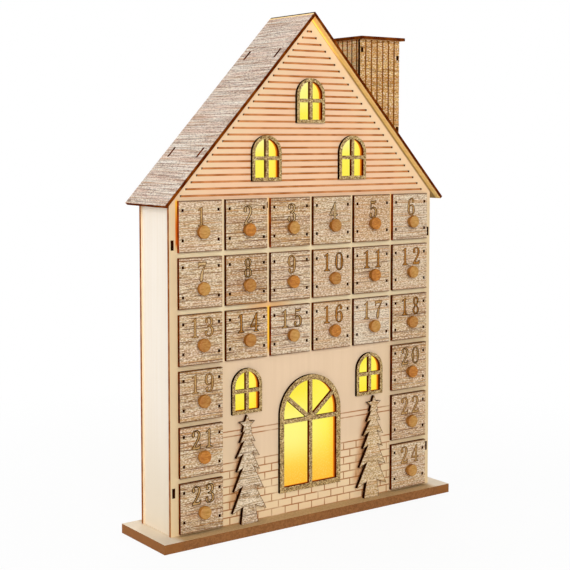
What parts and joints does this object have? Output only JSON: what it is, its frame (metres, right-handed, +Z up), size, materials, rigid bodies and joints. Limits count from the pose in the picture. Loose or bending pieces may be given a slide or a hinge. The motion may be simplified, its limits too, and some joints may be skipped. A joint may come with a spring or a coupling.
{
  "type": "wooden advent calendar",
  "caption": "House-shaped wooden advent calendar with numbered drawers, lit arched windows, a steep roof and a chimney, standing on a board.",
  "frame": {"origin": "centre of the base board's underside", "axes": "+X along the front to the right, +Y from the front to the back, +Z up"},
  "size_m": [0.308, 0.071, 0.4386],
  "materials": {
    "plywood": "bare sanded basswood plywood",
    "printed_board": "washed-wood print",
    "base_board": "bare fibreboard",
    "glitter_frame": "gold glitter paint",
    "light_film": "translucent film lit from behind",
    "box_plastic": "moulded",
    "switch_plastic": "moulded",
    "cell_jacket": "plain printed sleeve",
    "contact_steel": "plated spring steel",
    "wire_cover": "clear-coated copper wire",
    "lamp_bead": "warm white lamp bead"
  },
  "bodies": {
    "house": {"front_panel": "plywood", "back_panel": "plywood", "left_wall": "plywood", "right_wall": "plywood", "floor_panel": "plywood", "room_ceiling": "plywood", "attic_floor": "plywood", "shelf_lower": "plywood", "shelf_upper": "plywood", "cell_dividers": "plywood", "room_sides": "plywood", "side_shelves": "plywood", "left_roof_panel": "printed_board", "right_roof_panel": "printed_board", "chimney_front": "printed_board", "chimney_back": "printed_board", "chimney_sides": "printed_board", "chimney_cap": "printed_board", "tree_left": "printed_board", "tree_right": "printed_board", "base_board": "base_board", "gable_top_window": "glitter_frame", "gable_left_window": "glitter_frame", "gable_right_window": "glitter_frame", "room_left_window": "glitter_frame", "room_right_window": "glitter_frame", "door_window": "glitter_frame", "gable_light_sheet": "light_film", "room_light_sheet": "light_film", "battery_box": "box_plastic", "batteries": "cell_jacket", "battery_contacts": "contact_steel", "led_wire": "wire_cover", "led_bulbs": "lamp_bead"},
    "drawer_01": {"drawer_01": "printed_board"},
    "drawer_02": {"drawer_02": "printed_board"},
    "drawer_03": {"drawer_03": "printed_board"},
    "drawer_04": {"drawer_04": "printed_board"},
    "drawer_05": {"drawer_05": "printed_board"},
    "drawer_06": {"drawer_06": "printed_board"},
    "drawer_07": {"drawer_07": "printed_board"},
    "drawer_08": {"drawer_08": "printed_board"},
    "drawer_09": {"drawer_09": "printed_board"},
    "drawer_10": {"drawer_10": "printed_board"},
    "drawer_11": {"drawer_11": "printed_board"},
    "drawer_12": {"drawer_12": "printed_board"},
    "drawer_13": {"drawer_13": "printed_board"},
    "drawer_14": {"drawer_14": "printed_board"},
    "drawer_15": {"drawer_15": "printed_board"},
    "drawer_16": {"drawer_16": "printed_board"},
    "drawer_17": {"drawer_17": "printed_board"},
    "drawer_18": {"drawer_18": "printed_board"},
    "drawer_19": {"drawer_19": "printed_board"},
    "drawer_20": {"drawer_20": "printed_board"},
    "drawer_21": {"drawer_21": "printed_board"},
    "drawer_22": {"drawer_22": "printed_board"},
    "drawer_23": {"drawer_23": "printed_board"},
    "drawer_24": {"drawer_24": "printed_board"},
    "battery_cover": {"battery_cover": "box_plastic"},
    "power_switch": {"power_switch": "switch_plastic"}
  },
  "joints": [
    {"name": "drawer_01_slide", "type": "slide", "parent": "house", "child": "drawer_01", "axis": [0, -1, 0], "range_m": [0, 0.034]},
    {"name": "drawer_02_slide", "type": "slide", "parent": "house", "child": "drawer_02", "axis": [0, -1, 0], "range_m": [0, 0.034]},
    {"name": "drawer_03_slide", "type": "slide", "parent": "house", "child": "drawer_03", "axis": [0, -1, 0], "range_m": [0, 0.034]},
    {"name": "drawer_04_slide", "type": "slide", "parent": "house", "child": "drawer_04", "axis": [0, -1, 0], "range_m": [0, 0.034]},
    {"name": "drawer_05_slide", "type": "slide", "parent": "house", "child": "drawer_05", "axis": [0, -1, 0], "range_m": [0, 0.034]},
    {"name": "drawer_06_slide", "type": "slide", "parent": "house", "child": "drawer_06", "axis": [0, -1, 0], "range_m": [0, 0.034]},
    {"name": "drawer_07_slide", "type": "slide", "parent": "house", "child": "drawer_07", "axis": [0, -1, 0], "range_m": [0, 0.034]},
    {"name": "drawer_08_slide", "type": "slide", "parent": "house", "child": "drawer_08", "axis": [0, -1, 0], "range_m": [0, 0.034]},
    {"name": "drawer_09_slide", "type": "slide", "parent": "house", "child": "drawer_09", "axis": [0, -1, 0], "range_m": [0, 0.034]},
    {"name": "drawer_10_slide", "type": "slide", "parent": "house", "child": "drawer_10", "axis": [0, -1, 0], "range_m": [0, 0.034]},
    {"name": "drawer_11_slide", "type": "slide", "parent": "house", "child": "drawer_11", "axis": [0, -1, 0], "range_m": [0, 0.034]},
    {"name": "drawer_12_slide", "type": "slide", "parent": "house", "child": "drawer_12", "axis": [0, -1, 0], "range_m": [0, 0.034]},
    {"name": "drawer_13_slide", "type": "slide", "parent": "house", "child": "drawer_13", "axis": [0, -1, 0], "range_m": [0, 0.034]},
    {"name": "drawer_14_slide", "type": "slide", "parent": "house", "child": "drawer_14", "axis": [0, -1, 0], "range_m": [0, 0.034]},
    {"name": "drawer_15_slide", "type": "slide", "parent": "house", "child": "drawer_15", "axis": [0, -1, 0], "range_m": [0, 0.034]},
    {"name": "drawer_16_slide", "type": "slide", "parent": "house", "child": "drawer_16", "axis": [0, -1, 0], "range_m": [0, 0.034]},
    {"name": "drawer_17_slide", "type": "slide", "parent": "house", "child": "drawer_17", "axis": [0, -1, 0], "range_m": [0, 0.034]},
    {"name": "drawer_18_slide", "type": "slide", "parent": "house", "child": "drawer_18", "axis": [0, -1, 0], "range_m": [0, 0.034]},
    {"name": "drawer_19_slide", "type": "slide", "parent": "house", "child": "drawer_19", "axis": [0, -1, 0], "range_m": [0, 0.034]},
    {"name": "drawer_20_slide", "type": "slide", "parent": "house", "child": "drawer_20", "axis": [0, -1, 0], "range_m": [0, 0.034]},
    {"name": "drawer_21_slide", "type": "slide", "parent": "house", "child": "drawer_21", "axis": [0, -1, 0], "range_m": [0, 0.034]},
    {"name": "drawer_22_slide", "type": "slide", "parent": "house", "child": "drawer_22", "axis": [0, -1, 0], "range_m": [0, 0.034]},
    {"name": "drawer_23_slide", "type": "slide", "parent": "house", "child": "drawer_23", "axis": [0, -1, 0], "range_m": [0, 0.034]},
    {"name": "drawer_24_slide", "type": "slide", "parent": "house", "child": "drawer_24", "axis": [0, -1, 0], "range_m": [0, 0.034]},
    {"name": "battery_cover_slide", "type": "slide", "parent": "house", "child": "battery_cover", "axis": [-1, 0, 0], "range_m": [0, 0.045]},
    {"name": "power_switch_slide", "type": "slide", "parent": "house", "child": "power_switch", "axis": [1, 0, 0], "range_m": [0, 0.003]}
  ]
}
